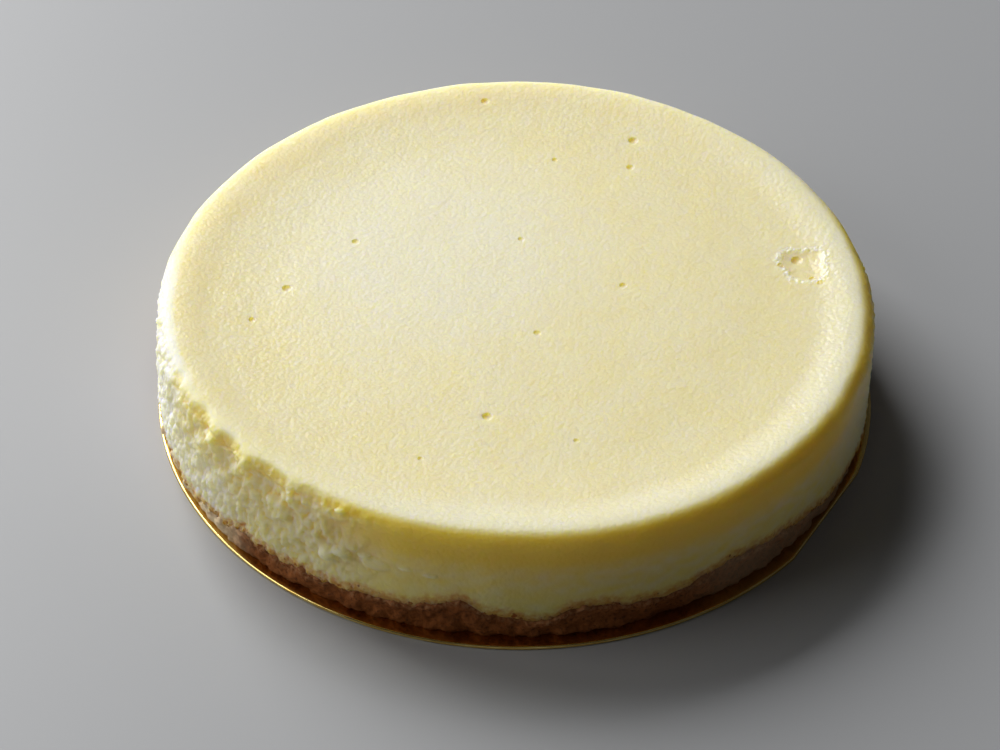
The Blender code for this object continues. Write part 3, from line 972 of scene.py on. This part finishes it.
def crumb_haze(tree, coords, fine, cream):
    """cream, browned by the crumb that is mixed into it just above the boundary."""
    rise = attribute(tree, "rise")
    uneven = ramp(tree, fine, *HAZE_UNEVEN)
    haze = math_node(tree, "ADD", ramp(tree, rise, *HAZE_THINS), uneven)
    near_base = ramp(tree, rise, *HAZE_ENDS)
    haze = math_node(tree, "MULTIPLY", haze, near_base)
    colour = mix_colours(tree, ramp(tree, haze, 0.0, 1.0), cream, HAZE_BROWN)
    crumbs = grain(tree, coords, *HAZE_CRUMBS)
    fewer = ramp(tree, rise, *HAZE_SPOTS)
    spots = ramp(tree, math_node(tree, "SUBTRACT", crumbs, fewer), *HAZE_SPOT_EDGE)
    return mix_colours(tree, math_node(tree, "MULTIPLY", spots, near_base), colour, HAZE_SPOT)


def filling_material():
    made, tree, shader = new_material("set_cheese")
    coords = place_coords(tree)
    patches = grain(tree, coords, *CREAM_PATCHES)
    blotches = grain(tree, coords, *CREAM_BLOTCHES)
    fine = grain(tree, coords, *CREAM_FINE)
    mottle = ramp(tree, math_node(tree, "ADD", patches, blotches), *CREAM_MOTTLE)
    colour = mix_colours(tree, mottle, FILLING_COLOUR, FILLING_MOTTLE)
    # paleness includes painted highlights, sheen and light
    colour = mix_colours(tree, attribute(tree, "pale"), colour, PALE_AND_LIT_CREAM)
    # painted shade and glow
    colour = mix_colours(tree, attribute(tree, "golden_and_shade"), colour, GOLD_AND_SHADE_CREAM)
    colour = crumb_haze(tree, coords, fine, colour)
    tree.links.new(colour, shader.inputs["Base Color"])
    shader.inputs["Subsurface Weight"].default_value = 1.0
    shader.inputs["Subsurface Radius"].default_value = FILLING_SCATTER
    shader.inputs["Subsurface Scale"].default_value = MILLIMETRE
    roughness = ramp(tree, attribute(tree, "wet"), *CREAM_ROUGHNESS)
    tree.links.new(roughness, shader.inputs["Roughness"])
    shader.inputs["Specular IOR Level"].default_value = CREAM_SPECULAR
    cells = node(tree, "ShaderNodeTexVoronoi", {"Vector": coords, "Scale": 1.0 / CREAM_GRAINS})
    round_grains = ramp(tree, cells.outputs["Distance"], *CREAM_GRAIN_SHAPE)
    relief = math_node(tree, "ADD", round_grains, math_node(tree, "ADD", fine, blotches))
    set_bump(tree, shader, relief, *CREAM_BUMP)
    return made


def base_material():
    made, tree, shader = new_material("pressed_crumb")
    coords = place_coords(tree)
    patches = grain(tree, coords, *CRUMB_PATCHES)
    fine = grain(tree, coords, *CRUMB_FINE)
    colour = mix_colours(tree, ramp(tree, patches, *CRUMB_MOTTLE), CRUMB_DARK, CRUMB_LIGHT)
    darker_crumb = math_node(tree, "MULTIPLY", attribute(tree, "darker_crumb"), DARKER_CRUMB_SHARE)
    colour = mix_colours(tree, darker_crumb, colour, CRUMB_DARK)
    colour = mix_colours(tree, ramp(tree, fine, *CRUMB_SPECKS), colour, SPECK_AND_SHADE_CRUMB)
    rise = attribute(tree, "rise")
    between_crumbs = ramp(tree, fine, *BETWEEN_CRUMBS)
    cream = math_node(tree, "MULTIPLY", ramp(tree, rise, *CREAMY_EDGE), between_crumbs)
    colour = mix_colours(tree, cream, colour, CRUMB_CREAM)
    colour = mix_colours(tree, ramp(tree, rise, *LIP), colour, CRUMB_LIP)
    # painted shade at the base's foot, where it meets the card
    foot_shade = ramp(tree, attribute(tree, "foot"), *FOOT_SHADE)
    colour = mix_colours(tree, foot_shade, colour, SPECK_AND_SHADE_CRUMB)
    # cream smear, with painted light and painted sheen, on the base's side
    patchy = ramp(tree, patches, *SMEAR_PATCHES)
    smear = math_node(tree, "MULTIPLY", attribute(tree, "cream_and_light"), patchy)
    colour = mix_colours(tree, smear, colour, SMEAR_AND_LIGHT_CREAM)
    tree.links.new(colour, shader.inputs["Base Color"])
    shader.inputs["Roughness"].default_value = CRUMB_ROUGHNESS
    shader.inputs["Specular IOR Level"].default_value = CRUMB_SPECULAR
    set_bump(tree, shader, fine, *CRUMB_BUMP)
    return made


def card_material():
    made, tree, shader = new_material("gold_foil")
    coords = place_coords(tree)
    smudge = grain(tree, coords, *FOIL_SMUDGES)
    colour = mix_colours(tree, ramp(tree, smudge, *FOIL_MOTTLE), GOLD, DULL_GOLD)
    # painted reflection of the crumb and shade in the card's face
    colour = mix_colours(tree, attribute(tree, "inner"), colour, REFLECTION_SHADE_GOLD)
    tree.links.new(colour, shader.inputs["Base Color"])
    shader.inputs["Metallic"].default_value = 1.0
    tree.links.new(ramp(tree, smudge, *FOIL_ROUGHNESS), shader.inputs["Roughness"])
    set_bump(tree, shader, grain(tree, coords, *FOIL_WAVES), *FOIL_BUMP)
    return made


def floor_material():
    made, _, shader = new_material("pale_floor")
    shader.inputs["Base Color"].default_value = (*FLOOR_GREY, 1.0)
    shader.inputs["Roughness"].default_value = FLOOR_ROUGHNESS
    return made


# ---- the studio ----

CAMERA_AIM = (-0.0003, -0.0004, CARD_THICKNESS)
CAMERA_DISTANCE = 0.8962
CAMERA_ELEVATION = 43.02
CAMERA_PITCH = 42.83
CAMERA_YAW = -0.31
CAMERA_ROLL = 0.75
CAMERA_LENS = 126.0
CAMERA_NEAR = 0.01
LIGHTS = (  # name, bearing, elevation, distance, size, watts
    ("key", 127.0, 34.0, 2.4, 1.5, 77.5),
    ("left_fill", -172.0, 32.0, 1.4, 0.9, 6.0),
    ("front_card", -90.0, 20.0, 1.5, 0.7, 0.25),
)
LIGHTS_AIM = Vector((0.0, 0.0, 0.02))
SKY = 0.032  # how bright the white all round is
FLOOR_HALF = 3.0  # half the floor's width


def place_camera():
    camera = bpy.data.objects.new("camera", bpy.data.cameras.new("camera"))
    bpy.context.scene.collection.objects.link(camera)
    elevation = math.radians(CAMERA_ELEVATION)
    back = Vector((0.0, -math.cos(elevation), math.sin(elevation)))
    place = Vector(CAMERA_AIM) + CAMERA_DISTANCE * back
    turn = Matrix.Rotation(math.radians(-CAMERA_YAW), 4, "Z")
    turn @= Matrix.Rotation(math.radians(90.0 - CAMERA_PITCH), 4, "X")
    turn @= Matrix.Rotation(math.radians(CAMERA_ROLL), 4, "Z")
    camera.matrix_world = Matrix.Translation(place) @ turn
    camera.data.lens = CAMERA_LENS
    camera.data.clip_start = CAMERA_NEAR
    bpy.context.scene.camera = camera


def area_light(name, bearing, elevation, distance, size, power):
    """A square soft light that faces the cake."""
    data = bpy.data.lights.new(name, "AREA")
    data.size = size
    data.energy = power
    light = bpy.data.objects.new(name, data)
    bpy.context.scene.collection.objects.link(light)
    level = distance * math.cos(math.radians(elevation))
    light.location = around(bearing, level, distance * math.sin(math.radians(elevation)))
    light.rotation_euler = (LIGHTS_AIM - light.location).to_track_quat("-Z", "Y").to_euler()


def make_floor():
    mesh = bpy.data.meshes.new("floor")
    corners = [(x * FLOOR_HALF, y * FLOOR_HALF, 0.0) for x, y in ((-1, -1), (1, -1), (1, 1), (-1, 1))]
    mesh.from_pydata(corners, [], [(0, 1, 2, 3)])
    mesh.materials.append(floor_material())
    floor = bpy.data.objects.new("floor", mesh)
    bpy.context.scene.collection.objects.link(floor)


def build_studio():
    make_floor()
    for settings in LIGHTS:
        area_light(*settings)
    world = bpy.data.worlds.new("studio")
    bpy.context.scene.world = world
    world.use_nodes = True
    background = world.node_tree.nodes["Background"]
    background.inputs["Color"].default_value = (1.0, 1.0, 1.0, 1.0)
    background.inputs["Strength"].default_value = SKY
    bpy.context.scene.view_settings.view_transform = "Standard"


def dress(piece, material, node_name):
    piece.data.materials.append(material)
    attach(piece, "root")
    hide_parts(node_name)


def main():
    dress(make_filling(), filling_material(), "cheese_filling")
    dress(make_base(), base_material(), "crumb_base")
    dress(make_card(), card_material(), "gold_card")
    build_studio()
    place_camera()


main()
